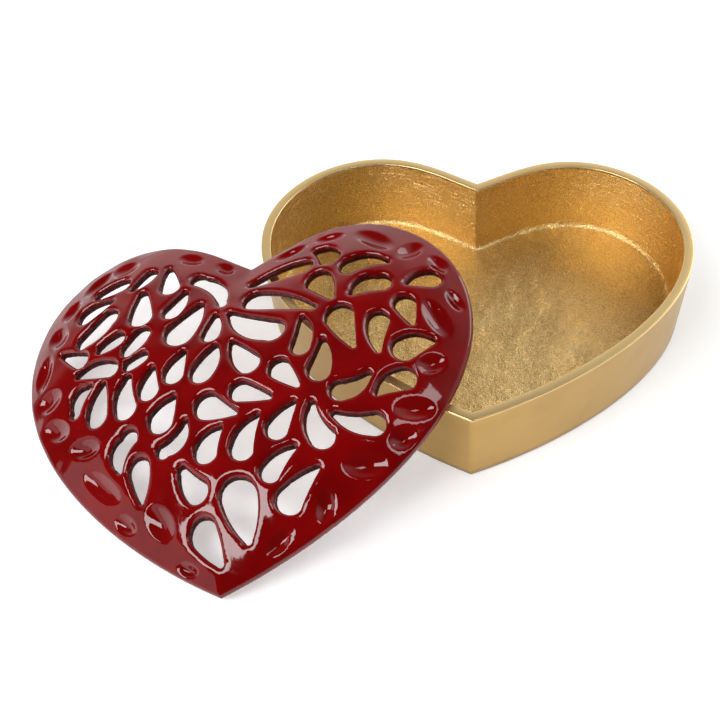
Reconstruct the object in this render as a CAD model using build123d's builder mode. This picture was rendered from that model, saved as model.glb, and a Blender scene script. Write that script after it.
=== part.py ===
from build123d import *
from math import cos, radians, sin, sqrt
import os

# Heart-shaped keepsake box: a cast tray with a thin pad under it, and a pierced domed lid.
# Millimetres. The tray stands on z = 0 with its axis of symmetry on x = 0, tip towards -Y.
# The lid rests as it is set down beside the tray: its tip on the table, its edge on the rim.

# ---- heart outline at the tray's rim: the right half is three Bezier spans ----
HALF_WIDTH = 100.0
WIDEST_Y = 27.2
LOBE_X, LOBE_Y = 46.0, 85.0
CLEFT_Y = 66.7
TIP_Y = -85.0
CLEFT_ANGLE = 29.3              # degrees above +X where the outline leaves the cleft
TIP_ANGLE = 24.5                # degrees above +X where the outline leaves the tip
CLEFT_REACH, LOBE_REACH_IN = 17.0, 18.0       # handle lengths of the cleft-to-lobe span
LOBE_REACH_OUT, SIDE_REACH_UP = 27.0, 34.0    # of the lobe-to-side span
SIDE_REACH_DOWN, TIP_REACH = 49.0, 48.0       # of the side-to-tip span

# ---- tray ----
TRAY_TOP = 39.6                 # height of the rim above the table
WALL = 4.5                      # flat rim width
DRAFT = 2.9                     # how far the outside leans in from rim to base
FLOOR_TOP = 4.4                 # inside floor above the table
FLOOR_FILLET = 2.5              # where the inside wall meets the floor
RIM_ROUND = 0.5

# ---- pad under the tray ----
PAD_THICKNESS = 1.0
PAD_INSET = 0.6

# ---- lid, in its own frame: z = 0 is the plane of its lower edge ----
LID_OVERHANG = 2.0              # the lid is this much larger than the rim all round
LID_EDGE = 3.5                  # height of the vertical edge
DOME_RISE = 20.0                # crown above the top of the edge
DOME_REACH = 75.0               # distance in from the edge at which the dome is level
DOME_POWER = 2.2
LID_WALL = 5.5                  # thickness of the pierced shell, measured vertically
SEAT_WIDTH = 6.0                # flat ring under the edge that sits on the rim

# ---- where the lid rests, leaning on the tray ----
LEAN_PLACE = (-99.2, -65.9, 23.5)
LEAN_ANGLES = (13.0, -12.3, 1.2)              # intrinsic X, Y, Z turns in degrees

# ---- pierced pattern: each opening is a bent drop on the lid's plan ----
# (tip x, tip y, tip radius, head x, head y, head radius, bow, belly)
# bow moves the middle to the left of the way from head to tip, belly widens it.
OPENINGS = [
    # left lobe, from the top down
    (-69.0, 59.0, 3.0, -58.5, 62.0, 4.0, 0.0, 0.3),
    (-61.5, 52.0, 1.5, -73.5, 47.3, 4.6, 0.3, 0.9),
    (-71.5, 32.0, 3.9, -60.2, 41.4, 4.9, 1.0, 0.7),
    (-83.0, 28.5, 0.8, -71.3, 22.3, 3.7, 0.0, 0.3),
    (-60.3, 25.0, 2.4, -52.3, 28.5, 3.2, 0.0, 0.4),
    (-71.5, 14.8, 1.3, -54.3, 14.2, 3.6, -0.9, 1.2),
    (-46.5, 21.8, 3.3, -40.6, 29.3, 3.3, 0.6, 0.6),
    (-45.0, 14.0, 2.6, -38.6, 17.0, 2.4, 0.0, 0.3),
    (-51.0, 57.7, 1.8, -45.4, 66.4, 3.2, 0.6, 0.7),
    (-37.3, 69.0, 1.3, -33.8, 56.4, 4.3, 0.0, 0.4),
    (-45.4, 52.2, 2.2, -43.6, 39.0, 5.2, 0.0, 0.4),
    (-65.0, 7.6, 1.7, -71.4, -2.2, 2.6, 2.3, 1.5),
    (-57.5, 7.0, 1.5, -59.6, -6.2, 5.2, 0.4, 0.9),
    (-45.0, 7.4, 1.9, -45.0, -5.4, 5.4, 1.2, 0.5),
    (-33.4, 9.9, 1.4, -34.3, 0.8, 4.9, 0.3, 0.3),
    (-19.9, 17.0, 1.1, -23.2, 6.8, 4.7, 0.3, 0.5),
    (-17.2, 43.5, 1.6, -24.0, 27.9, 6.5, -0.6, 0.9),
    (-26.0, 52.0, 1.4, -29.6, 40.8, 4.0, -0.7, 0.6),
    (-8.0, 44.6, 1.9, -21.5, 60.3, 3.5, 3.4, 0.6),
    # middle of the lid
    (-6.1, 18.2, 1.7, -10.3, 5.9, 5.1, -0.5, 1.2),
    (1.5, 19.8, 1.0, 10.3, 8.2, 5.0, 0.7, 0.9),
    (32.0, -4.0, 1.2, 24.4, 3.5, 4.6, 0.0, 0.3),
    (-9.3, 36.8, 1.2, -9.4, 26.0, 3.9, -0.5, 0.7),
    (-2.8, 37.6, 1.1, 19.2, 24.1, 5.5, 2.2, 1.9),
    (-15.5, -17.0, 1.3, -25.0, -27.6, 3.3, -2.7, 1.3),
    (-21.8, -5.0, 1.2, -27.0, -13.8, 6.1, 0.4, 0.6),
    (6.4, -15.0, 1.0, -5.8, -10.8, 5.9, -0.4, 0.4),
    (20.8, -9.0, 1.0, 8.0, -5.3, 4.6, 0.0, 0.3),
    (16.0, -17.2, 1.0, 10.0, -30.5, 5.0, 1.3, 0.7),
    (0.6, -21.4, 1.0, -5.2, -30.3, 5.5, 1.1, 0.6),
    # right lobe, from the top down
    (3.6, 56.0, 1.7, 28.3, 60.0, 4.1, -0.8, 1.2),
    (36.6, 33.2, 1.2, 7.4, 44.3, 5.3, 0.9, 0.9),
    (33.0, 69.4, 1.3, 40.0, 63.0, 5.0, -1.2, 0.8),
    (66.0, 57.3, 1.2, 51.0, 55.2, 5.0, 2.0, 0.8),
    (44.7, 37.0, 1.1, 37.4, 48.4, 5.8, 0.4, 0.5),
    (53.2, 38.8, 1.3, 64.8, 44.4, 4.4, -1.9, 1.5),
    (76.0, 44.9, 1.1, 84.5, 48.2, 4.5, -0.5, 0.8),
    (32.5, 27.2, 1.5, 32.8, 13.8, 4.2, -1.1, 0.8),
    (42.3, 14.8, 1.4, 41.0, 2.2, 4.8, -0.7, 0.6),
    (55.1, 12.6, 1.0, 48.9, 26.4, 6.2, -0.3, 0.3),
    (65.3, 10.5, 0.9, 64.9, 24.0, 4.6, -0.9, 0.6),
    (78.6, 24.0, 0.8, 75.3, 33.2, 4.5, 0.0, 0.3),
    (86.2, 16.4, 1.2, 75.4, 12.0, 5.2, 0.9, 1.1),
    (64.6, -8.0, 1.0, 75.2, -1.1, 4.7, -1.1, 1.0),
    (61.0, -0.5, 1.4, 49.9, -7.2, 4.3, -1.3, 0.5),
    (47.4, -17.2, 1.1, 62.6, -20.4, 4.8, 1.5, 0.5),
    (38.4, -13.0, 1.3, 42.4, -26.0, 5.2, 1.7, 0.2),
    (31.0, -12.2, 1.0, 24.3, -22.6, 4.7, 0.5, 0.5),
    # lower part, towards the tip
    (-46.5, -32.2, 1.3, -42.4, -19.9, 4.3, -3.0, 1.5),
    (-35.3, -46.8, 0.9, -36.7, -33.6, 5.1, 0.2, 0.8),
    (-16.0, -37.0, 1.6, -9.1, -46.5, 5.1, 0.8, 0.5),
    (40.2, -38.8, 1.0, 28.8, -51.2, 5.5, 0.6, 0.3),
    (31.2, -30.9, 1.0, 21.5, -40.5, 4.1, 0.9, 0.5),
    (12.2, -66.6, 1.5, 8.8, -49.8, 7.5, 0.0, 1.3),
    (0.7, -75.0, 1.5, -6.2, -63.4, 6.2, 0.0, 0.6),
]

# ---- worked out from the driving sizes ----
GRID_STEP = 4.0                 # spacing of the points that carry the dome surface
GRID_X, GRID_Y = 114.0, 96.0
OUTLINE_STEPS = 40
SEAM_BELOW = 1.0                # how far cutting tools run past the faces they cut
BLOCK_DEPTH = 60.0              # deeper than the lid is high
STRAIGHT = 0.05                 # a side that bends less than this is a straight line


def turned(angle, length):
    return Vector(length * cos(radians(angle)), length * sin(radians(angle)))


def heart_spans(inset=0.0):
    """Control points of the right half of the outline, moved inwards by inset.

    The ends stay on the axis of symmetry, and the handles shrink with their span.
    """
    corners = [
        Vector(0, CLEFT_Y - inset / cos(radians(CLEFT_ANGLE))),
        Vector(LOBE_X, LOBE_Y - inset),
        Vector(HALF_WIDTH - inset, WIDEST_Y),
        Vector(0, TIP_Y + inset / cos(radians(TIP_ANGLE))),
    ]
    handles = [
        (turned(CLEFT_ANGLE, CLEFT_REACH), Vector(-LOBE_REACH_IN, 0)),
        (Vector(LOBE_REACH_OUT, 0), Vector(0, SIDE_REACH_UP)),
        (Vector(0, -SIDE_REACH_DOWN), turned(TIP_ANGLE, TIP_REACH)),
    ]
    if inset:
        plain = [spans[0] for spans in heart_spans()] + [Vector(0, TIP_Y)]
    else:
        plain = corners
    spans = []
    for i, (leave, arrive) in enumerate(handles):
        start, finish = corners[i], corners[i + 1]
        shrink = (finish - start).length / (plain[i + 1] - plain[i]).length
        spans.append((start, start + leave * shrink, finish + arrive * shrink, finish))
    return spans


def heart(height, inset=0.0):
    """The heart outline as a sketch on a level plane."""
    with BuildSketch(Plane.XY.offset(height)) as sketch:
        with BuildLine():
            for span in heart_spans(inset):
                Bezier(*span)
            mirror(about=Plane.YZ)
        make_face()
    return sketch.sketch


def edge_points():
    """Points round the lid's edge, for measuring how far a place is from it."""
    right = []
    for p0, p1, p2, p3 in heart_spans(-LID_OVERHANG):
        for i in range(OUTLINE_STEPS):
            t = i / OUTLINE_STEPS
            p = (p0 * (1 - t) ** 3 + p1 * (3 * t * (1 - t) ** 2)
                 + p2 * (3 * t * t * (1 - t)) + p3 * t ** 3)
            right.append((p.X, p.Y))
    tip = heart_spans(-LID_OVERHANG)[-1][-1]
    return right + [(0, tip.Y)] + [(-x, y) for x, y in reversed(right[1:])]


EDGE = edge_points()


def edge_distance(x, y):
    """Distance in from the lid's edge, negative outside it."""
    near, inside = 1e9, False
    for (ax, ay), (bx, by) in zip(EDGE, EDGE[1:] + EDGE[:1]):
        ex, ey = bx - ax, by - ay
        t = max(0.0, min(1.0, ((x - ax) * ex + (y - ay) * ey) / (ex * ex + ey * ey)))
        near = min(near, (x - ax - t * ex) ** 2 + (y - ay - t * ey) ** 2)
        if (ay > y) != (by > y) and x < ax + (y - ay) / ey * ex:
            inside = not inside
    return sqrt(near) if inside else -sqrt(near)


def dome_height(x, y):
    """Height of the lid's outer surface above the plane of its lower edge."""
    reach = min(edge_distance(x, y) / DOME_REACH, 1.0)
    if reach < 0:
        return LID_EDGE + DOME_RISE * DOME_POWER * reach
    return LID_EDGE + DOME_RISE * (1 - (1 - reach) ** DOME_POWER)


def draft_at(height):
    """How far the tray's outside has leaned in from the rim outline at a height."""
    return DRAFT * (TRAY_TOP - height) / TRAY_TOP


# ---- pad: thin sheet glued under the tray ----
pad_outline = heart(0, draft_at(0) + PAD_INSET)
with BuildPart() as base_pad:
    extrude(pad_outline, amount=PAD_THICKNESS)

# ---- tray: drafted cast dish ----
tray_base = heart(PAD_THICKNESS, draft_at(PAD_THICKNESS))
tray_rim = heart(TRAY_TOP)
dish_floor = heart(FLOOR_TOP, draft_at(FLOOR_TOP) + WALL)
dish_mouth = heart(TRAY_TOP, WALL)
with BuildPart() as tray:
    loft([tray_base, tray_rim], ruled=True)
    loft([dish_floor, dish_mouth], ruled=True, mode=Mode.SUBTRACT)
    fillet(tray.faces().filter_by(Plane.XY).group_by(Axis.Z)[1].edges(), radius=FLOOR_FILLET)
    fillet(tray.faces().sort_by(Axis.Z)[-1].edges(), radius=RIM_ROUND)


# ---- lid: heart slab cut to the dome, hollowed from below and pierced ----
def dome_block(lowered):
    """Everything under the dome surface, with the surface lowered by a distance."""
    columns = int(2 * GRID_X / GRID_STEP) + 1
    rows = int(2 * GRID_Y / GRID_STEP) + 1
    places = [[(i * GRID_STEP - GRID_X, j * GRID_STEP - GRID_Y) for j in range(rows)]
              for i in range(columns)]
    grid = [[Vector(x, y, dome_height(x, y) - lowered) for x, y in line] for line in places]
    surface = Face.make_surface_from_array_of_points(grid, tol=0.02, min_deg=3, max_deg=3)
    return extrude(surface, amount=BLOCK_DEPTH, dir=(0, 0, -1))


def side(start, middle, finish):
    """One long side of an opening: an arc, or a line where it hardly bends."""
    if abs((finish - start).normalized().cross(middle - start).Z) < STRAIGHT:
        Line(start, finish)
    else:
        ThreePointArc(start, middle, finish)


lid_height = LID_EDGE + DOME_RISE + SEAM_BELOW
lid_outline = heart(0, -LID_OVERHANG)
hollow_outline = heart(-SEAM_BELOW, SEAT_WIDTH - LID_OVERHANG)
outer_dome = dome_block(0)
inner_dome = dome_block(LID_WALL)

with BuildPart() as lid_hollow:
    extrude(hollow_outline, amount=lid_height)
    add(inner_dome, mode=Mode.INTERSECT)

with BuildSketch() as pattern:
    for tip_x, tip_y, tip_r, head_x, head_y, head_r, bow, belly in OPENINGS:
        head, tip = Vector(head_x, head_y), Vector(tip_x, tip_y)
        along = (tip - head).normalized()
        left = Vector(-along.Y, along.X)
        middle = (head + tip) * 0.5 + left * bow
        half = left * ((head_r + tip_r) / 2 + belly)
        with BuildLine():
            ThreePointArc(head - left * head_r, head - along * head_r, head + left * head_r)
            side(head + left * head_r, middle + half, tip + left * tip_r)
            ThreePointArc(tip + left * tip_r, tip + along * tip_r, tip - left * tip_r)
            side(tip - left * tip_r, middle - half, head - left * head_r)
        make_face()

with BuildPart() as flat_lid:
    extrude(lid_outline, amount=lid_height)
    add(outer_dome, mode=Mode.INTERSECT)
    add(lid_hollow.part, mode=Mode.SUBTRACT)
    extrude(pattern.sketch, amount=lid_height, mode=Mode.SUBTRACT)

lean = Location(LEAN_PLACE, LEAN_ANGLES)
with BuildPart() as lid:
    with Locations(lean):
        add(flat_lid.part)

os.makedirs("parts", exist_ok=True)
base_pad.part.label = "base_pad"
export_step(base_pad.part, "parts/base_pad.step")
tray.part.label = "tray"
export_step(tray.part, "parts/tray.step")
lid.part.label = "lid"
export_step(lid.part, "parts/lid.step")
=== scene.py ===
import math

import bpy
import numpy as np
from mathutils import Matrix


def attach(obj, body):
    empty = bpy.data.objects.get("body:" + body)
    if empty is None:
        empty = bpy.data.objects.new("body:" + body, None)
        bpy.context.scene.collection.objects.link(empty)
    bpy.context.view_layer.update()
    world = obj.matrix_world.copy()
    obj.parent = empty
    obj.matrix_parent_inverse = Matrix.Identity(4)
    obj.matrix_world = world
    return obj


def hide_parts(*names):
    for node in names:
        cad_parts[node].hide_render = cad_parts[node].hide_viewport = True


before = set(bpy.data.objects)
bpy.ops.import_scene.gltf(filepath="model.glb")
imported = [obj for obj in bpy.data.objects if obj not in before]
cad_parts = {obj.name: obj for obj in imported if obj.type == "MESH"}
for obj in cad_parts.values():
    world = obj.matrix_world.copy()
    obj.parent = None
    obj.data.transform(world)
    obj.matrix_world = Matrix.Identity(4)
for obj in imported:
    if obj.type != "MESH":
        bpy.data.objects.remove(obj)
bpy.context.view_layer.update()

# Heart-shaped keepsake box: a sand-cast gold tray, the felt under it, and a pierced domed
# lid in glossy red enamel that leans on the tray. Shapes are worked out in millimetres with
# the same sizes as the CAD source, and turned into metres when a mesh is made.

import openvdb
from mathutils import Matrix, Vector, geometry, noise

MM = 0.001

# ---- sizes shared with the CAD source, in millimetres ----
HALF_WIDTH, WIDEST_Y = 100.0, 27.2
LOBE_X, LOBE_Y = 46.0, 85.0
CLEFT_Y, TIP_Y = 66.7, -85.0
CLEFT_ANGLE, TIP_ANGLE = 29.3, 24.5
CLEFT_REACH, LOBE_REACH_IN = 17.0, 18.0
LOBE_REACH_OUT, SIDE_REACH_UP = 27.0, 34.0
SIDE_REACH_DOWN, TIP_REACH = 49.0, 48.0

TRAY_TOP, TRAY_BOTTOM = 39.6, 1.0
WALL, DRAFT = 4.5, 2.9
FLOOR_TOP, FLOOR_FILLET, RIM_ROUND = 4.4, 2.5, 0.5
PAD_INSET = 0.6

LID_OVERHANG, LID_EDGE = 2.0, 3.5
DOME_RISE, DOME_REACH, DOME_POWER = 20.0, 75.0, 2.2
LID_WALL, SEAT_WIDTH = 5.5, 6.0
LEAN_PLACE = (-99.2, -65.9, 23.5)
LEAN_ANGLES = (13.0, -12.3, 1.2)

# Each opening is a bent drop: tip x, tip y, tip radius, head x, head y, head radius,
# how far its middle bows to the left of the way from head to tip, and how far it swells.
OPENINGS = [
    # left lobe, from the top down
    (-69.0, 59.0, 3.0, -58.5, 62.0, 4.0, 0.0, 0.3),
    (-61.5, 52.0, 1.5, -73.5, 47.3, 4.6, 0.3, 0.9),
    (-71.5, 32.0, 3.9, -60.2, 41.4, 4.9, 1.0, 0.7),
    (-83.0, 28.5, 0.8, -71.3, 22.3, 3.7, 0.0, 0.3),
    (-60.3, 25.0, 2.4, -52.3, 28.5, 3.2, 0.0, 0.4),
    (-71.5, 14.8, 1.3, -54.3, 14.2, 3.6, -0.9, 1.2),
    (-46.5, 21.8, 3.3, -40.6, 29.3, 3.3, 0.6, 0.6),
    (-45.0, 14.0, 2.6, -38.6, 17.0, 2.4, 0.0, 0.3),
    (-51.0, 57.7, 1.8, -45.4, 66.4, 3.2, 0.6, 0.7),
    (-37.3, 69.0, 1.3, -33.8, 56.4, 4.3, 0.0, 0.4),
    (-45.4, 52.2, 2.2, -43.6, 39.0, 5.2, 0.0, 0.4),
    (-65.0, 7.6, 1.7, -71.4, -2.2, 2.6, 2.3, 1.5),
    (-57.5, 7.0, 1.5, -59.6, -6.2, 5.2, 0.4, 0.9),
    (-45.0, 7.4, 1.9, -45.0, -5.4, 5.4, 1.2, 0.5),
    (-33.4, 9.9, 1.4, -34.3, 0.8, 4.9, 0.3, 0.3),
    (-19.9, 17.0, 1.1, -23.2, 6.8, 4.7, 0.3, 0.5),
    (-17.2, 43.5, 1.6, -24.0, 27.9, 6.5, -0.6, 0.9),
    (-26.0, 52.0, 1.4, -29.6, 40.8, 4.0, -0.7, 0.6),
    (-8.0, 44.6, 1.9, -21.5, 60.3, 3.5, 3.4, 0.6),
    # middle of the lid
    (-6.1, 18.2, 1.7, -10.3, 5.9, 5.1, -0.5, 1.2),
    (1.5, 19.8, 1.0, 10.3, 8.2, 5.0, 0.7, 0.9),
    (32.0, -4.0, 1.2, 24.4, 3.5, 4.6, 0.0, 0.3),
    (-9.3, 36.8, 1.2, -9.4, 26.0, 3.9, -0.5, 0.7),
    (-2.8, 37.6, 1.1, 19.2, 24.1, 5.5, 2.2, 1.9),
    (-15.5, -17.0, 1.3, -25.0, -27.6, 3.3, -2.7, 1.3),
    (-21.8, -5.0, 1.2, -27.0, -13.8, 6.1, 0.4, 0.6),
    (6.4, -15.0, 1.0, -5.8, -10.8, 5.9, -0.4, 0.4),
    (20.8, -9.0, 1.0, 8.0, -5.3, 4.6, 0.0, 0.3),
    (16.0, -17.2, 1.0, 10.0, -30.5, 5.0, 1.3, 0.7),
    (0.6, -21.4, 1.0, -5.2, -30.3, 5.5, 1.1, 0.6),
    # right lobe, from the top down
    (3.6, 56.0, 1.7, 28.3, 60.0, 4.1, -0.8, 1.2),
    (36.6, 33.2, 1.2, 7.4, 44.3, 5.3, 0.9, 0.9),
    (33.0, 69.4, 1.3, 40.0, 63.0, 5.0, -1.2, 0.8),
    (66.0, 57.3, 1.2, 51.0, 55.2, 5.0, 2.0, 0.8),
    (44.7, 37.0, 1.1, 37.4, 48.4, 5.8, 0.4, 0.5),
    (53.2, 38.8, 1.3, 64.8, 44.4, 4.4, -1.9, 1.5),
    (76.0, 44.9, 1.1, 84.5, 48.2, 4.5, -0.5, 0.8),
    (32.5, 27.2, 1.5, 32.8, 13.8, 4.2, -1.1, 0.8),
    (42.3, 14.8, 1.4, 41.0, 2.2, 4.8, -0.7, 0.6),
    (55.1, 12.6, 1.0, 48.9, 26.4, 6.2, -0.3, 0.3),
    (65.3, 10.5, 0.9, 64.9, 24.0, 4.6, -0.9, 0.6),
    (78.6, 24.0, 0.8, 75.3, 33.2, 4.5, 0.0, 0.3),
    (86.2, 16.4, 1.2, 75.4, 12.0, 5.2, 0.9, 1.1),
    (64.6, -8.0, 1.0, 75.2, -1.1, 4.7, -1.1, 1.0),
    (61.0, -0.5, 1.4, 49.9, -7.2, 4.3, -1.3, 0.5),
    (47.4, -17.2, 1.1, 62.6, -20.4, 4.8, 1.5, 0.5),
    (38.4, -13.0, 1.3, 42.4, -26.0, 5.2, 1.7, 0.2),
    (31.0, -12.2, 1.0, 24.3, -22.6, 4.7, 0.5, 0.5),
    # lower part, towards the tip
    (-46.5, -32.2, 1.3, -42.4, -19.9, 4.3, -3.0, 1.5),
    (-35.3, -46.8, 0.9, -36.7, -33.6, 5.1, 0.2, 0.8),
    (-16.0, -37.0, 1.6, -9.1, -46.5, 5.1, 0.8, 0.5),
    (40.2, -38.8, 1.0, 28.8, -51.2, 5.5, 0.6, 0.3),
    (31.2, -30.9, 1.0, 21.5, -40.5, 4.1, 0.9, 0.5),
    (12.2, -66.6, 1.5, 8.8, -49.8, 7.5, 0.0, 1.3),
    (0.7, -75.0, 1.5, -6.2, -63.4, 6.2, 0.0, 0.6),
]

# ---- shallow scoops round the lid's border: x, y, length, width, direction in degrees ----
SCOOP_DEPTH = 2.4
SCOOPS = [
    # left side, from the cleft down to the tip
    (-11.5, 68.5, 11.0, 7.0, -40.0), (-28.5, 75.5, 13.0, 8.0, -20.0),
    (-60.0, 73.5, 14.0, 11.0, 20.0), (-73.0, 68.0, 18.0, 8.0, 50.0),
    (-84.0, 54.0, 13.0, 8.0, 60.0), (-87.5, 39.0, 13.0, 11.0, -30.0),
    (-92.5, 22.0, 17.0, 9.0, 80.0), (-87.0, 7.0, 15.0, 11.0, 10.0),
    (-81.5, -8.0, 17.0, 10.0, -20.0), (-64.5, -20.0, 17.0, 8.5, -5.0),
    (-55.0, -37.5, 25.0, 9.0, -38.0), (-43.0, -54.5, 13.0, 7.0, -35.0),
    (-25.5, -57.0, 18.0, 11.0, -50.0), (-13.5, -75.8, 11.0, 5.0, -25.0),
    # right side, from the cleft down to the tip
    (20.0, 72.5, 17.0, 6.0, 20.0), (38.0, 77.5, 15.0, 6.0, 5.0),
    (59.0, 72.0, 24.0, 10.0, -38.0), (75.5, 64.0, 14.0, 9.0, 50.0),
    (87.5, 56.5, 12.0, 7.0, -55.0), (95.0, 37.0, 12.0, 5.0, -60.0),
    (88.0, 27.0, 20.0, 9.0, -62.0), (86.0, 5.5, 13.0, 9.0, 25.0),
    (79.0, -14.0, 17.0, 9.5, 10.0), (74.0, -26.0, 12.0, 8.0, 40.0),
    (59.0, -37.0, 18.0, 11.0, 10.0), (43.0, -53.5, 14.0, 7.5, 75.0),
    (24.5, -67.0, 15.0, 6.0, 45.0),
]


# ======================= outlines =======================

def turned(angle, length):
    return np.array([math.cos(math.radians(angle)), math.sin(math.radians(angle))]) * length


def heart_spans(inset=0.0):
    """Bezier control points of the right half of the heart, moved inwards by inset."""
    corners = [
        np.array([0.0, CLEFT_Y - inset / math.cos(math.radians(CLEFT_ANGLE))]),
        np.array([LOBE_X, LOBE_Y - inset]),
        np.array([HALF_WIDTH - inset, WIDEST_Y]),
        np.array([0.0, TIP_Y + inset / math.cos(math.radians(TIP_ANGLE))]),
    ]
    handles = [
        (turned(CLEFT_ANGLE, CLEFT_REACH), np.array([-LOBE_REACH_IN, 0.0])),
        (np.array([LOBE_REACH_OUT, 0.0]), np.array([0.0, SIDE_REACH_UP])),
        (np.array([0.0, -SIDE_REACH_DOWN]), turned(TIP_ANGLE, TIP_REACH)),
    ]
    plain = [span[0] for span in heart_spans()] + [np.array([0.0, TIP_Y])] if inset else corners
    spans = []
    for i, (leave, arrive) in enumerate(handles):
        start, finish = corners[i], corners[i + 1]
        shrink = np.linalg.norm(finish - start) / np.linalg.norm(plain[i + 1] - plain[i])
        spans.append((start, start + leave * shrink, finish + arrive * shrink, finish))
    return spans


def heart(inset=0.0, steps=64):
    """Points round the heart, clockwise from the cleft, with the same number in each span."""
    t = np.arange(steps)[:, None] / steps
    right = [a * (1 - t) ** 3 + b * 3 * t * (1 - t) ** 2 + c * 3 * t * t * (1 - t) + d * t ** 3
             for a, b, c, d in heart_spans(inset)]
    right = np.concatenate(right + [heart_spans(inset)[-1][-1][None]])
    return np.concatenate([right, right[-2:0:-1] * [-1, 1]])


def arc(start, middle, finish, steps):
    """Points along the circle through three points, without the last one."""
    chord, bend = finish - start, middle - (start + finish) / 2
    area = chord[0] * (middle - start)[1] - chord[1] * (middle - start)[0]
    t = np.arange(steps)[:, None] / steps
    if abs(area) < 0.05 * np.linalg.norm(chord):
        return start + chord * t
    a, b, c = start @ start, middle @ middle, finish @ finish
    d = 2 * (start[0] * (middle[1] - finish[1]) + middle[0] * (finish[1] - start[1])
             + finish[0] * (start[1] - middle[1]))
    centre = np.array([
        a * (middle[1] - finish[1]) + b * (finish[1] - start[1]) + c * (start[1] - middle[1]),
        a * (finish[0] - middle[0]) + b * (start[0] - finish[0]) + c * (middle[0] - start[0]),
    ]) / d
    angles = [math.atan2(*(p - centre)[::-1]) for p in (start, middle, finish)]
    turn = (angles[2] - angles[0]) % math.tau
    if (angles[1] - angles[0]) % math.tau > turn:
        turn -= math.tau
    sweep = angles[0] + turn * t
    radius = np.linalg.norm(start - centre)
    return centre + radius * np.hstack([np.cos(sweep), np.sin(sweep)])


def opening_outline(tip_x, tip_y, tip_r, head_x, head_y, head_r, bow, belly):
    head, tip = np.array([head_x, head_y]), np.array([tip_x, tip_y])
    along = (tip - head) / np.linalg.norm(tip - head)
    left = np.array([-along[1], along[0]])
    middle = (head + tip) / 2 + left * bow
    half = left * ((head_r + tip_r) / 2 + belly)
    return np.concatenate([
        arc(head - left * head_r, head - along * head_r, head + left * head_r, 12),
        arc(head + left * head_r, middle + half, tip + left * tip_r, 12),
        arc(tip + left * tip_r, tip + along * tip_r, tip - left * tip_r, 8),
        arc(tip - left * tip_r, middle - half, head - left * head_r, 12),
    ])


def inward_distance(points, outline):
    """Distance of each point from a closed outline, positive inside it."""
    near = np.full(len(points), 1e9)
    inside = np.zeros(len(points), bool)
    x, y = points[:, 0], points[:, 1]
    for a, b in zip(outline, np.roll(outline, -1, 0)):
        e = b - a
        t = np.clip(((x - a[0]) * e[0] + (y - a[1]) * e[1]) / (e @ e), 0, 1)
        near = np.minimum(near, (x - a[0] - t * e[0]) ** 2 + (y - a[1] - t * e[1]) ** 2)
        if a[1] != b[1]:
            crosses = (a[1] > y) != (b[1] > y)
            inside ^= crosses & (x < a[0] + (y - a[1]) / e[1] * e[0])
    return np.where(inside, 1, -1) * np.sqrt(near)


# ======================= lid =======================
# The lid is a field of distances on a grid in the lid's own frame, z = 0 at its lower edge.

FINE = 0.44                     # spacing of the plan grid
CELL = 0.88                     # spacing of the solid grid: two plan steps
MARGIN = 4.4                    # how far both grids run past the lid
EDGE_ROUND = 0.9                # rounding along the top of the vertical edge
LIP_ROUND = 2.3                 # rounding of the enamel where it runs into an opening
UNDER_ROUND = 0.7               # the same on the underside
WAVE_DEPTH = 0.7                # the top is uneven by this much
WAVE_FREQUENCY = 0.09           # waves per millimetre
BAND = 3 * CELL                 # distances are cut off this far from the surface
OPENING_REACH = 8.0             # how far from an opening its distance is worked out
LIP_BLEND, UNDER_BLEND = 0.5, 0.3             # over this far the duller enamel fades out
WALL_SHARE = 0.9                # a face is on a wall where its mean wall value passes this


def plan_grid():
    x = np.arange(-HALF_WIDTH - LID_OVERHANG - MARGIN, HALF_WIDTH + LID_OVERHANG + MARGIN, FINE)
    y = np.arange(TIP_Y - LID_OVERHANG - MARGIN, LOBE_Y + LID_OVERHANG + MARGIN, FINE)
    return x, y


def openings_distance(x, y):
    """Distance from the nearest opening on the plan grid, positive in the metal."""
    reach = OPENING_REACH
    field = np.full((len(x), len(y)), reach)
    for row in OPENINGS:
        outline = opening_outline(*row)
        low, high = outline.min(0) - reach, outline.max(0) + reach
        i = slice(*np.searchsorted(x, [low[0], high[0]]))
        j = slice(*np.searchsorted(y, [low[1], high[1]]))
        px, py = np.meshgrid(x[i], y[j], indexing="ij")
        d = -inward_distance(np.column_stack([px.ravel(), py.ravel()]), outline)
        field[i, j] = np.minimum(field[i, j], d.reshape(px.shape))
    return field


def scoop_depth(x, y):
    """Depth of the shallow scoops on the plan grid."""
    px, py = np.meshgrid(x, y, indexing="ij")
    depth = np.zeros(px.shape)
    for cx, cy, length, width, angle in SCOOPS:
        c, s = math.cos(math.radians(angle)), math.sin(math.radians(angle))
        u = ((px - cx) * c + (py - cy) * s) / (length / 2)
        v = (-(px - cx) * s + (py - cy) * c) / (width / 2)
        bowl = np.clip(1 - u * u - v * v, 0, None) ** 1.2
        depth = np.maximum(depth, SCOOP_DEPTH * bowl)
    return depth


def casting_waves(x, y):
    """How far the hand-finished top sinks below the true dome on the plan grid."""
    waves = [[noise.noise(Vector((px, py, 0.0)) * WAVE_FREQUENCY) for py in y] for px in x]
    return WAVE_DEPTH * (0.5 + 0.5 * np.clip(waves, -1, 1))


def round_max(a, b, radius):
    """The larger of two distances, with the outer corner between them rounded."""
    return (np.minimum(-radius, np.maximum(a, b))
            + np.hypot(np.maximum(a + radius, 0), np.maximum(b + radius, 0)))


def blur(field, times):
    """Evens out a plan map by averaging each value with its four neighbours."""
    for _ in range(times):
        p = np.pad(field, 1, mode="edge")
        field = (4 * field + p[2:, 1:-1] + p[:-2, 1:-1] + p[1:-1, 2:] + p[1:-1, :-2]) / 8
    return field


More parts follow.
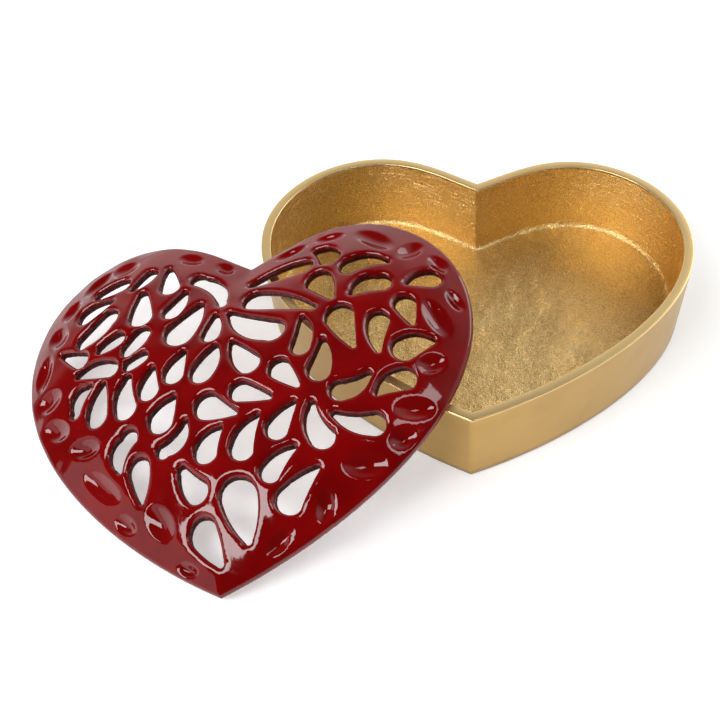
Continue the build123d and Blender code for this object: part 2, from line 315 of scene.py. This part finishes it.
class LidShape:
    """Plan-grid maps of the lid, and its distance field at any point."""

    def __init__(self):
        self.x, self.y = plan_grid()
        px, py = np.meshgrid(self.x, self.y, indexing="ij")
        plan = np.column_stack([px.ravel(), py.ravel()])
        edge = inward_distance(plan, heart(-LID_OVERHANG)).reshape(px.shape)
        reach = np.minimum(edge / DOME_REACH, 1)
        rise = np.where(reach < 0, DOME_POWER * reach,
                        1 - (1 - np.clip(reach, 0, 1)) ** DOME_POWER)
        dome = blur(LID_EDGE + DOME_RISE * rise, 6)
        hole = openings_distance(self.x, self.y)
        cut = scoop_depth(self.x, self.y) + casting_waves(self.x, self.y)
        top = blur(dome - cut, 2)
        slope = np.gradient(dome, FINE)
        cosine = 1 / np.sqrt(1 + slope[0] ** 2 + slope[1] ** 2)
        self.maps = np.stack([edge, hole, top, dome - LID_WALL, cosine])

    def at(self, x, y):
        """The five maps at plan points, by linear interpolation."""
        u = np.clip((x - self.x[0]) / FINE, 0, len(self.x) - 1.001)
        v = np.clip((y - self.y[0]) / FINE, 0, len(self.y) - 1.001)
        i, j = u.astype(int), v.astype(int)
        u, v = u - i, v - j
        m = self.maps
        return (m[:, i, j] * (1 - u) * (1 - v) + m[:, i + 1, j] * u * (1 - v)
                + m[:, i, j + 1] * (1 - u) * v + m[:, i + 1, j + 1] * u * v)

    @staticmethod
    def field(maps, z):
        """Signed distance, negative in the metal."""
        edge, hole, top, under, cosine = maps
        outer = round_max((z - top) * cosine, -edge, EDGE_ROUND)
        outer = round_max(outer, -z, UNDER_ROUND)
        pierced = round_max(outer, -hole, LIP_ROUND)
        hollow = np.minimum(edge - SEAT_WIDTH, (under - z) * cosine)
        return round_max(pierced, hollow, UNDER_ROUND)

    def distance(self, points):
        return self.field(self.at(points[:, 0], points[:, 1]), points[:, 2])

    def settle(self, points, rounds=3):
        """Moves points onto the surface along the field's slope."""
        step = 0.05
        for _ in range(rounds):
            d = self.distance(points)
            slope = np.stack([self.distance(points + step * axis)
                              - self.distance(points - step * axis) for axis in np.eye(3)], 1)
            slope /= 2 * step
            size = np.maximum((slope ** 2).sum(1), 0.2)
            move = np.clip(d / size, -0.4, 0.4)
            points = points - slope * move[:, None]
        return points


def mesh_object(name, points, faces):
    """A new smooth-shaded object from points in millimetres in the row frame."""
    mesh = bpy.data.meshes.new(name)
    mesh.from_pydata((np.asarray(points) * MM).tolist(), [], faces)
    mesh.validate()
    mesh.polygons.foreach_set("use_smooth", [True] * len(mesh.polygons))
    piece = bpy.data.objects.new(name, mesh)
    bpy.context.scene.collection.objects.link(piece)
    return piece


def point_value(piece, name, values):
    """Stores one number per vertex for the material to read."""
    layer = piece.data.attributes.new(name, "FLOAT", "POINT")
    layer.data.foreach_set("value", np.asarray(values, np.float32))


def lid_surface(shape):
    """Points and quads of the lid's surface in its own frame."""
    z = np.arange(-MARGIN / 2, LID_EDGE + DOME_RISE + MARGIN / 2, CELL)
    coarse = shape.maps[:, ::2, ::2]
    solid = np.stack([shape.field(coarse, level) for level in z], 2)
    grid = openvdb.FloatGrid(background=BAND)
    grid.copyFromArray(np.clip(solid, -BAND, BAND).astype(np.float32))
    points, quads = grid.convertToQuads(isovalue=0.0)
    points = points * CELL + np.array([shape.x[0], shape.y[0], z[0]])
    return shape.settle(points), quads


def make_lid():
    shape = LidShape()
    points, quads = lid_surface(shape)
    _, hole, _, under, _ = shape.at(points[:, 0], points[:, 1])
    wall = np.clip(1 - hole / LIP_BLEND, 0, 1)
    beneath = np.clip((under + UNDER_BLEND - points[:, 2]) / UNDER_BLEND, 0, 1)
    about_x, about_y, about_z = (
        Matrix.Rotation(math.radians(angle), 3, axis) for angle, axis in zip(LEAN_ANGLES, "XYZ"))
    placed = points @ np.array(about_x @ about_y @ about_z).T + np.array(LEAN_PLACE)
    lid = mesh_object("lid_casting", placed, quads.tolist())
    on_wall = (wall[quads].mean(1) > WALL_SHARE).astype(np.int32)
    lid.data.polygons.foreach_set("material_index", on_wall)
    point_value(lid, "wall", wall)
    point_value(lid, "under", beneath)
    return lid


# ======================= tray =======================

OUTSIDE, RIM, CAST = 0.0, 1.0, 2.0            # zones of the tray's surface
ROUND_STEPS = 5                 # points round a rounded edge
RING_STEPS = 80                 # points in each of a ring's six spans
FLOOR_GRAIN = 1.3               # spacing of the floor's points
HEART_MIDDLE_Y = 10.0           # near the heart's centre of area


def draft_at(height):
    """How far the tray's outside has leaned in from the rim outline at a height."""
    return DRAFT * (TRAY_TOP - height) / TRAY_TOP


def tray_profile():
    """(inset, height, zone) down the outside from base to rim, then down the inside."""
    corner = math.pi / 2
    turns = [corner * k / (ROUND_STEPS - 1) for k in range(ROUND_STEPS)]
    rim = [(RIM_ROUND * (1 - math.cos(turn)), TRAY_TOP - RIM_ROUND * (1 - math.sin(turn)))
           for turn in turns]
    lean = draft_at(TRAY_TOP - RIM_ROUND)
    below_rim = TRAY_TOP - 1.2
    outside = [(draft_at(h), h, OUTSIDE) for h in np.linspace(TRAY_BOTTOM, below_rim, 14)]
    outside += [(lean + inset, h, RIM) for inset, h in rim]
    inside = [(WALL + lean - inset, h, RIM) for inset, h in reversed(rim)]
    lowest = FLOOR_TOP + FLOOR_FILLET
    inside += [(WALL + draft_at(h), h, CAST) for h in np.linspace(below_rim, lowest, 32)]
    foot = WALL + draft_at(lowest)
    for k in range(1, ROUND_STEPS + 1):
        turn = corner * k / ROUND_STEPS
        inside.append((foot + FLOOR_FILLET * (1 - math.cos(turn)),
                       FLOOR_TOP + FLOOR_FILLET * (1 - math.sin(turn)), CAST))
    return outside + inside


def ring_faces(first, second, count):
    """Quads between two rings of count points that start at these indices."""
    return [(first + i, first + (i + 1) % count, second + (i + 1) % count, second + i)
            for i in range(count)]


def floor_points(outline):
    """Points inside the floor's outline, in rows that are shifted by half a step."""
    low, high = outline.min(0), outline.max(0)
    rows = []
    for n, y in enumerate(np.arange(low[1], high[1], FLOOR_GRAIN * 0.87)):
        x = np.arange(low[0] + (n % 2) * FLOOR_GRAIN / 2, high[0], FLOOR_GRAIN)
        rows.append(np.column_stack([x, np.full(len(x), y)]))
    grid = np.concatenate(rows)
    return grid[inward_distance(grid, outline) > FLOOR_GRAIN * 0.7]


def floor_sheet(edge, first_edge, first_new):
    """The floor as a fine triangulated sheet: its new points, and faces that share its edge."""
    flat = [Vector(p) for p in np.concatenate([edge, floor_points(edge)])]
    ring = [(i, (i + 1) % len(edge)) for i in range(len(edge))]
    found = geometry.delaunay_2d_cdt(flat, ring, [], 1, 1e-6)
    index, added = {}, []
    for i, origins in enumerate(found[3]):
        if origins and origins[0] < len(edge):
            index[i] = first_edge + origins[0]
        else:
            index[i] = first_new + len(added)
            added.append((found[0][i].x, found[0][i].y, FLOOR_TOP))
    return added, [[index[i] for i in face] for face in found[2]]


def make_tray():
    profile = tray_profile()
    rings = [np.column_stack([heart(inset, RING_STEPS), np.full(6 * RING_STEPS, h)])
             for inset, h, _ in profile]
    count = len(rings[0])
    last = (len(rings) - 1) * count
    faces = []
    for k in range(len(rings) - 1):
        faces += ring_faces((k + 1) * count, k * count, count)
    # the base is one flat face, hidden by the felt
    faces.append(list(range(count)))
    added, floor = floor_sheet(rings[-1][:, :2], last, last + count)
    points = np.concatenate(rings + [added])
    zone = np.concatenate([np.repeat([z for _, _, z in profile], count),
                           np.full(len(added), CAST)])
    along = np.concatenate([[0], np.linalg.norm(np.diff(rings[0], axis=0), axis=1).cumsum()])
    along = np.concatenate([np.tile(along, len(rings)), np.zeros(len(added))])
    tray = mesh_object("tray_casting", roughen(points, zone), faces + floor)
    point_value(tray, "zone", zone)
    point_value(tray, "along", along * MM)
    return tray


def roughen(points, zone):
    """Gives the cast inside the slight unevenness of sand casting.

    The floor only sinks; the walls move in and out by a few tenths, most near their foot.
    """
    floor_level = FLOOR_TOP + 0.3
    for i in np.flatnonzero(zone == CAST):
        p = Vector(points[i])
        lump = noise.noise(p * 0.12) * 0.16 + noise.noise(p * 0.55) * 0.10
        near_foot = max(0.0, 1 - abs(p.z - FLOOR_TOP - 1.2) / 3.5)
        ragged = noise.noise(p * 0.35) * 0.35 * near_foot
        if points[i, 2] < floor_level:
            points[i, 2] += min(0.0, lump + ragged - 0.05)
        else:
            out = Vector((p.x, p.y - HEART_MIDDLE_Y, 0)).normalized()
            points[i, 0] += out.x * (0.5 * lump + ragged)
            points[i, 1] += out.y * (0.5 * lump + ragged)
    return points


# ======================= felt =======================

FELT_FUZZ = 0.12                # how far the cut edge wanders in


def make_felt():
    """Thin felt under the tray, with a soft rounded edge."""
    thick = TRAY_BOTTOM
    base = draft_at(0) + PAD_INSET
    profile = [(base + 3.0, 0.02), (base + 0.35, 0.0), (base + 0.08, 0.25 * thick),
               (base, 0.55 * thick), (base + 0.05, 0.85 * thick), (base + 0.25, thick - 0.02),
               (base + 3.0, thick - 0.02)]
    centre = np.array([0.0, HEART_MIDDLE_Y])
    rings = []
    for inset, h in profile:
        ring = heart(inset, RING_STEPS)
        fuzz = np.array([noise.noise(Vector((x * 0.5, y * 0.5, h))) for x, y in ring])
        out = (ring - centre) / np.linalg.norm(ring - centre, axis=1)[:, None]
        ring = ring - out * np.abs(fuzz * FELT_FUZZ)[:, None]
        rings.append(np.column_stack([ring, np.full(len(ring), h)]))
    count = len(rings[0])
    last = (len(rings) - 1) * count
    faces = []
    for k in range(len(rings) - 1):
        faces += ring_faces((k + 1) * count, k * count, count)
    faces.append(list(range(count)))
    faces.append([last + i for i in reversed(range(count))])
    return mesh_object("felt_base", np.concatenate(rings), faces)


# ======================= materials =======================

def new_material(name):
    """A new material with its node tree's nodes and links, and its shader."""
    material = bpy.data.materials.new(name)
    material.use_nodes = True
    nodes, links = material.node_tree.nodes, material.node_tree.links
    shader = nodes["Principled BSDF"]
    return material, nodes, links, shader


def add_node(nodes, kind, **values):
    """A node with its properties and input defaults set by name."""
    made = nodes.new(kind)
    for key, value in values.items():
        if key in made.inputs:
            made.inputs[key].default_value = value
        else:
            setattr(made, key, value)
    return made


def noise_node(nodes, links, coords, scale, detail=3.0, rough=0.55):
    made = add_node(nodes, "ShaderNodeTexNoise", Scale=scale, Detail=detail, Roughness=rough)
    links.new(coords, made.inputs["Vector"])
    return made.outputs["Fac"]


def spread(nodes, links, value, low, high, to_low, to_high):
    """Maps a value from one range to another."""
    made = nodes.new("ShaderNodeMapRange")
    for key, number in (("From Min", low), ("From Max", high),
                        ("To Min", to_low), ("To Max", to_high)):
        made.inputs[key].default_value = number
    links.new(value, made.inputs["Value"])
    return made.outputs["Result"]


def smooth_spread(nodes, links, value, low, high, to_low, to_high):
    """Maps a value from one range to another with soft ends."""
    result = spread(nodes, links, value, low, high, to_low, to_high)
    result.node.interpolation_type = "SMOOTHSTEP"
    return result


def mix_colour(nodes, links, factor, first, second):
    made = nodes.new("ShaderNodeMix")
    made.data_type = "RGBA"
    links.new(factor, made.inputs["Factor"])
    for socket, value in ((made.inputs[6], first), (made.inputs[7], second)):
        if isinstance(value, tuple):
            socket.default_value = value
        else:
            links.new(value, socket)
    return made.outputs[2]


def maths(nodes, links, operation, first, second=None):
    made = nodes.new("ShaderNodeMath")
    made.operation = operation
    for socket, value in zip(made.inputs, (first, second)):
        if value is None:
            continue
        if isinstance(value, (int, float)):
            socket.default_value = value
        else:
            links.new(value, socket)
    return made.outputs[0]


def bump(nodes, links, height, distance):
    """A normal from a height map, where a height of 1 stands for this many metres."""
    made = add_node(nodes, "ShaderNodeBump", Distance=distance)
    links.new(height, made.inputs["Height"])
    return made.outputs["Normal"]


def read(nodes, name):
    """The number that the mesh stores per vertex under this name."""
    made = nodes.new("ShaderNodeAttribute")
    made.attribute_name = name
    return made.outputs["Fac"]


def red_enamel():
    """Deep red gloss enamel: pooled and slightly uneven on top, rough-cast in the walls, with
    painted shade darkening it towards the walls.
    """
    material, nodes, links, shader = new_material("red_enamel")
    coords = nodes.new("ShaderNodeTexCoord").outputs["Object"]
    wall, under = read(nodes, "wall"), read(nodes, "under")
    rough_places = maths(nodes, links, "MULTIPLY", maths(nodes, links, "MAXIMUM", wall, under), 0.6)
    pool = noise_node(nodes, links, coords, 55.0, 2.0)
    deep = spread(nodes, links, pool, 0.35, 0.65, 0.0, 1.0)
    body = mix_colour(nodes, links, deep, (0.145, 0.0011, 0.0015, 1), (0.190, 0.0016, 0.0020, 1))
    # painted shade: the red darkens towards the walls of the openings, where shade falls
    shade = mix_colour(nodes, links, wall, body, (0.085, 0.0010, 0.0014, 1))
    links.new(shade, shader.inputs["Base Color"])
    fine = noise_node(nodes, links, coords, 900.0, 4.0)
    gloss = spread(nodes, links, fine, 0.3, 0.7, 0.03, 0.07)
    rough = maths(nodes, links, "ADD", gloss, maths(nodes, links, "MULTIPLY", rough_places, 0.45))
    links.new(rough, shader.inputs["Roughness"])
    peel = noise_node(nodes, links, coords, 190.0, 2.0)
    grain = noise_node(nodes, links, coords, 750.0, 3.0)
    height = maths(nodes, links, "ADD", maths(nodes, links, "MULTIPLY", peel, 0.10),
                   maths(nodes, links, "MULTIPLY",
                         maths(nodes, links, "MULTIPLY", grain, rough_places), 1.6))
    links.new(bump(nodes, links, height, 0.0003), shader.inputs["Normal"])
    shader.inputs["IOR"].default_value = 1.5
    return material


def enamel_wall():
    """Enamel over the rough-cast walls of the openings: dull and grainy, its colour darkened as
    painted shade.
    """
    material, nodes, links, shader = new_material("enamel_wall")
    coords = nodes.new("ShaderNodeTexCoord").outputs["Object"]
    grain = noise_node(nodes, links, coords, 850.0, 3.0)
    patchy = noise_node(nodes, links, coords, 260.0, 2.0)
    wall_patches = spread(nodes, links, patchy, 0.35, 0.65, 0.0, 1.0)
    # painted shade: both wall colours are far darker than the red on top, standing in for the shade
    # inside the openings; the patches vary at random
    links.new(mix_colour(nodes, links, wall_patches, (0.030, 0.0006, 0.0008, 1), (0.085, 0.002, 0.003, 1)),
              shader.inputs["Base Color"])
    links.new(spread(nodes, links, grain, 0.3, 0.7, 0.45, 0.80), shader.inputs["Roughness"])
    links.new(bump(nodes, links, grain, 0.0006), shader.inputs["Normal"])
    shader.inputs["Specular IOR Level"].default_value = 0.15
    return material


def level_noise(nodes, links, along, height, along_scale, height_scale, detail, rough):
    """Noise drawn out level round the tray, for brushing and strokes."""
    spot = nodes.new("ShaderNodeCombineXYZ")
    links.new(maths(nodes, links, "MULTIPLY", along, along_scale), spot.inputs[0])
    links.new(maths(nodes, links, "MULTIPLY", height, height_scale), spot.inputs[1])
    return noise_node(nodes, links, spot.outputs[0], 1.0, detail, rough)


def blend(nodes, links, factor, first, second):
    """The first number where the factor is 0, the second where it is 1."""
    change = maths(nodes, links, "SUBTRACT", second, first)
    return maths(nodes, links, "ADD", first, maths(nodes, links, "MULTIPLY", change, factor))


def gold_colour(nodes, links, inside, rim, cloud, lumps):
    warm = mix_colour(nodes, links, spread(nodes, links, cloud, 0.35, 0.65, 0.0, 1.0),
                      (0.47, 0.293, 0.094, 1), (0.52, 0.33, 0.112, 1))
    # painted light: the inside is the same gold painted much lighter, standing in for light in the
    # hollow; the lumpy tone varies at random
    cast = mix_colour(nodes, links, spread(nodes, links, lumps, 0.35, 0.62, 0.0, 1.0),
                      (0.76, 0.53, 0.218, 1), (0.89, 0.64, 0.285, 1))
    # painted highlight: the rim's top is painted a lighter gold than the outside
    outside_and_lit_rim = mix_colour(nodes, links, rim, warm, (0.88, 0.62, 0.28, 1))
    return mix_colour(nodes, links, inside, outside_and_lit_rim, cast)


def cast_relief(nodes, links, grain, lumps, cloud, strokes, height):
    """Sand grain and slow unevenness inside, with level scraper strokes up the walls."""
    up_wall = spread(nodes, links, height, 0.010, 0.024, 0.0, 1.6)
    relief = maths(nodes, links, "MULTIPLY", strokes, up_wall)
    for pattern, weight in ((grain, 0.8), (lumps, 0.9), (cloud, 8.0)):
        weighted = maths(nodes, links, "MULTIPLY", pattern, weight)
        relief = maths(nodes, links, "ADD", relief, weighted)
    return relief


def gold_casting():
    """Gold-finished aluminium: brushed outside, a rim with a smooth polish, open sand-cast grain
    inside; the rim's and the inside's colours are painted lighter as painted light.
    """
    material, nodes, links, shader = new_material("gold_casting")
    coords = nodes.new("ShaderNodeTexCoord").outputs["Object"]
    parts = nodes.new("ShaderNodeSeparateXYZ")
    links.new(coords, parts.inputs[0])
    height = parts.outputs[2]
    zone, along = read(nodes, "zone"), read(nodes, "along")
    inside = spread(nodes, links, zone, 1.2, 1.8, 0.0, 1.0)
    off_rim = maths(nodes, links, "ABSOLUTE", maths(nodes, links, "SUBTRACT", zone, RIM))
    rim = maths(nodes, links, "MAXIMUM", maths(nodes, links, "SUBTRACT", 1.0, off_rim), 0.0)
    brushing = level_noise(nodes, links, along, height, 14.0, 1800.0, 3.0, 0.6)
    strokes = level_noise(nodes, links, along, height, 60.0, 900.0, 2.0, 0.5)
    grain = noise_node(nodes, links, coords, 2000.0, 3.0, 0.6)
    lumps = noise_node(nodes, links, coords, 850.0, 3.0, 0.6)
    cloud = noise_node(nodes, links, coords, 38.0, 3.0)
    links.new(gold_colour(nodes, links, inside, rim, cloud, lumps), shader.inputs["Base Color"])
    # lacquer on the rim softens its mirror
    lacquer = maths(nodes, links, "MULTIPLY", rim, 0.25)
    links.new(maths(nodes, links, "SUBTRACT", 1.0, lacquer), shader.inputs["Metallic"])
    satin = spread(nodes, links, brushing, 0.3, 0.7, 0.30, 0.40)
    satin = maths(nodes, links, "SUBTRACT", satin, maths(nodes, links, "MULTIPLY", rim, 0.08))
    sandy = spread(nodes, links, grain, 0.3, 0.7, 0.20, 0.38)
    links.new(blend(nodes, links, inside, satin, sandy), shader.inputs["Roughness"])
    scratches = maths(nodes, links, "MULTIPLY", brushing, 0.06)
    relief = cast_relief(nodes, links, grain, lumps, cloud, strokes, height)
    relief = blend(nodes, links, inside, scratches, relief)
    links.new(bump(nodes, links, relief, 0.0004), shader.inputs["Normal"])
    return material


def base_felt():
    """Black felt with short fibres."""
    material, nodes, links, shader = new_material("base_felt")
    coords = nodes.new("ShaderNodeTexCoord").outputs["Object"]
    fibres = noise_node(nodes, links, coords, 2200.0, 5.0, 0.7)
    mottle = noise_node(nodes, links, coords, 160.0, 3.0)
    tone = maths(nodes, links, "MULTIPLY", fibres, mottle)
    links.new(mix_colour(nodes, links, spread(nodes, links, tone, 0.15, 0.4, 0.0, 1.0),
                         (0.006, 0.006, 0.007, 1), (0.028, 0.027, 0.028, 1)),
              shader.inputs["Base Color"])
    links.new(spread(nodes, links, fibres, 0.3, 0.7, 0.85, 1.0), shader.inputs["Roughness"])
    links.new(bump(nodes, links, fibres, 0.0004), shader.inputs["Normal"])
    shader.inputs["Sheen Weight"].default_value = 0.4
    return material


# ======================= stage, light and camera =======================

FLOOR_GLOW = 0.45               # the light table's own glow, as a share of white
FLOOR_HALF = 8.0                # half the table's side, in metres
BACKDROP = 0.62                 # tone of the plain backdrop, as a share of white
LAMP_AIM = (-0.06, -0.03, 0.04)               # a place on the lid, in metres


def make_floor():
    """A pale light table, which glows a little, so that the light under the lid stays pale."""
    half = FLOOR_HALF
    mesh = bpy.data.meshes.new("floor")
    mesh.from_pydata([(-half, -half, 0), (half, -half, 0), (half, half, 0), (-half, half, 0)],
                     [], [(0, 1, 2, 3)])
    floor = bpy.data.objects.new("floor", mesh)
    bpy.context.scene.collection.objects.link(floor)
    material, nodes, links, shader = new_material("studio_floor")
    shader.inputs["Base Color"].default_value = (0.75, 0.75, 0.75, 1)
    shader.inputs["Roughness"].default_value = 0.9
    shader.inputs["Specular IOR Level"].default_value = 0.0
    shader.inputs["Emission Color"].default_value = (1, 1, 1, 1)
    shader.inputs["Emission Strength"].default_value = FLOOR_GLOW
    mesh.materials.append(material)


def towards(azimuth, elevation, distance):
    """A place that far from the origin; azimuth 0 is +Y and 90 is +X."""
    a, e = math.radians(azimuth), math.radians(elevation)
    return Vector((math.sin(a) * math.cos(e), math.cos(a) * math.cos(e), math.sin(e))) * distance


def softbox(name, azimuth, elevation, distance, width, height, brightness, roll=0,
            mirrored=True):
    """A rectangular lamp aimed at the lid. Brightness 1 looks as bright as white paper."""
    aim = Vector(LAMP_AIM)
    data = bpy.data.lights.new(name, "AREA")
    data.shape = "RECTANGLE"
    data.size, data.size_y = width, height
    data.energy = brightness * math.pi * width * height
    lamp = bpy.data.objects.new(name, data)
    lamp.location = aim + towards(azimuth, elevation, distance)
    aimed = (aim - lamp.location).to_track_quat("-Z", "Y").to_matrix()
    lamp.rotation_euler = (aimed @ Matrix.Rotation(math.radians(roll), 3, "Z")).to_euler()
    lamp.visible_glossy = mirrored
    bpy.context.scene.collection.objects.link(lamp)


def make_world():
    """A white studio: bright low down and at the back, dark overhead and behind the camera."""
    world = bpy.data.worlds.new("studio")
    world.use_nodes = True
    nodes, links = world.node_tree.nodes, world.node_tree.links
    parts = nodes.new("ShaderNodeSeparateXYZ")
    links.new(nodes.new("ShaderNodeTexCoord").outputs["Generated"], parts.inputs[0])
    x, y, z = parts.outputs
    # the bright part reaches 40 degrees up at the back, less at the left, more at the right
    leftness = spread(nodes, links, x, -1.0, 0.3, 1.0, 0.0)
    lowered = maths(nodes, links, "MULTIPLY", maths(nodes, links, "POWER", leftness, 3.4), 0.85)
    above = maths(nodes, links, "ADD", z, lowered)
    raised = spread(nodes, links, x, 0.1, 0.8, 0.0, 0.2)
    level = maths(nodes, links, "SUBTRACT", above, raised)
    bright = smooth_spread(nodes, links, level, 0.36, 0.95, 0.95, 0.03)
    behind = smooth_spread(nodes, links, y, -0.35, 0.0, 0.03, 1.0)
    lit = maths(nodes, links, "MULTIPLY", bright, behind)
    # where the backdrop itself is in view it is one plain pale tone
    seen = nodes.new("ShaderNodeLightPath").outputs["Is Camera Ray"]
    change = maths(nodes, links, "SUBTRACT", BACKDROP, lit)
    strength = maths(nodes, links, "ADD", lit, maths(nodes, links, "MULTIPLY", change, seen))
    links.new(strength, nodes["Background"].inputs["Strength"])
    nodes["Background"].inputs["Color"].default_value = (1, 1, 1, 1)
    bpy.context.scene.world = world


def make_light():
    make_world()
    bpy.context.scene.view_settings.view_transform = "Standard"
    softbox("key", -50, 52, 1.6, 1.1, 0.9, 2.2, mirrored=False)
    softbox("camera_left", -132, 45, 1.2, 1.05, 0.44, 9.0, roll=35)
    softbox("right", 126, 64, 1.2, 0.38, 0.22, 5.0)
    softbox("low_left", -120, 10, 1.5, 1.5, 0.52, 0.8)
    softbox("back_right", 52, 28, 1.5, 1.0, 0.6, 3.0)


CAMERA_PLACE = (-1.1, -439.2, 451.7)
CAMERA_YAW, CAMERA_PITCH, CAMERA_ROLL = -4.92, 46.65, -2.31
LENS, SENSOR = 66.65, 36.0      # focal length and film width, in millimetres
AXIS_RIGHT, AXIS_UP = 1.61, 0.02              # where the lens axis meets the film, from its middle


def make_camera():
    yaw, pitch, roll = (math.radians(a) for a in (CAMERA_YAW, CAMERA_PITCH, CAMERA_ROLL))
    ahead = Vector((math.sin(yaw) * math.cos(pitch), math.cos(yaw) * math.cos(pitch),
                    -math.sin(pitch)))
    level = Vector((math.cos(yaw), -math.sin(yaw), 0))
    upright = level.cross(ahead)
    right = level * math.cos(roll) + upright * math.sin(roll)
    up = upright * math.cos(roll) - level * math.sin(roll)
    data = bpy.data.cameras.new("camera")
    data.sensor_width = SENSOR
    data.lens = LENS
    data.shift_x, data.shift_y = -AXIS_RIGHT / SENSOR, -AXIS_UP / SENSOR
    data.clip_start, data.clip_end = 0.02, 20
    camera = bpy.data.objects.new("camera", data)
    turn = Matrix((right, up, -ahead)).transposed()
    camera.matrix_world = Matrix.Translation(Vector(CAMERA_PLACE) * MM) @ turn.to_4x4()
    bpy.context.scene.collection.objects.link(camera)
    bpy.context.scene.camera = camera


make_floor()
make_light()
make_camera()

lid = make_lid()
lid.data.materials.append(red_enamel())
lid.data.materials.append(enamel_wall())
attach(lid, "lid")
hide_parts("lid")

tray = make_tray()
tray.data.materials.append(gold_casting())
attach(tray, "tray")
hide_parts("tray")

felt = make_felt()
felt.data.materials.append(base_felt())
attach(felt, "tray")
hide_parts("base_pad")
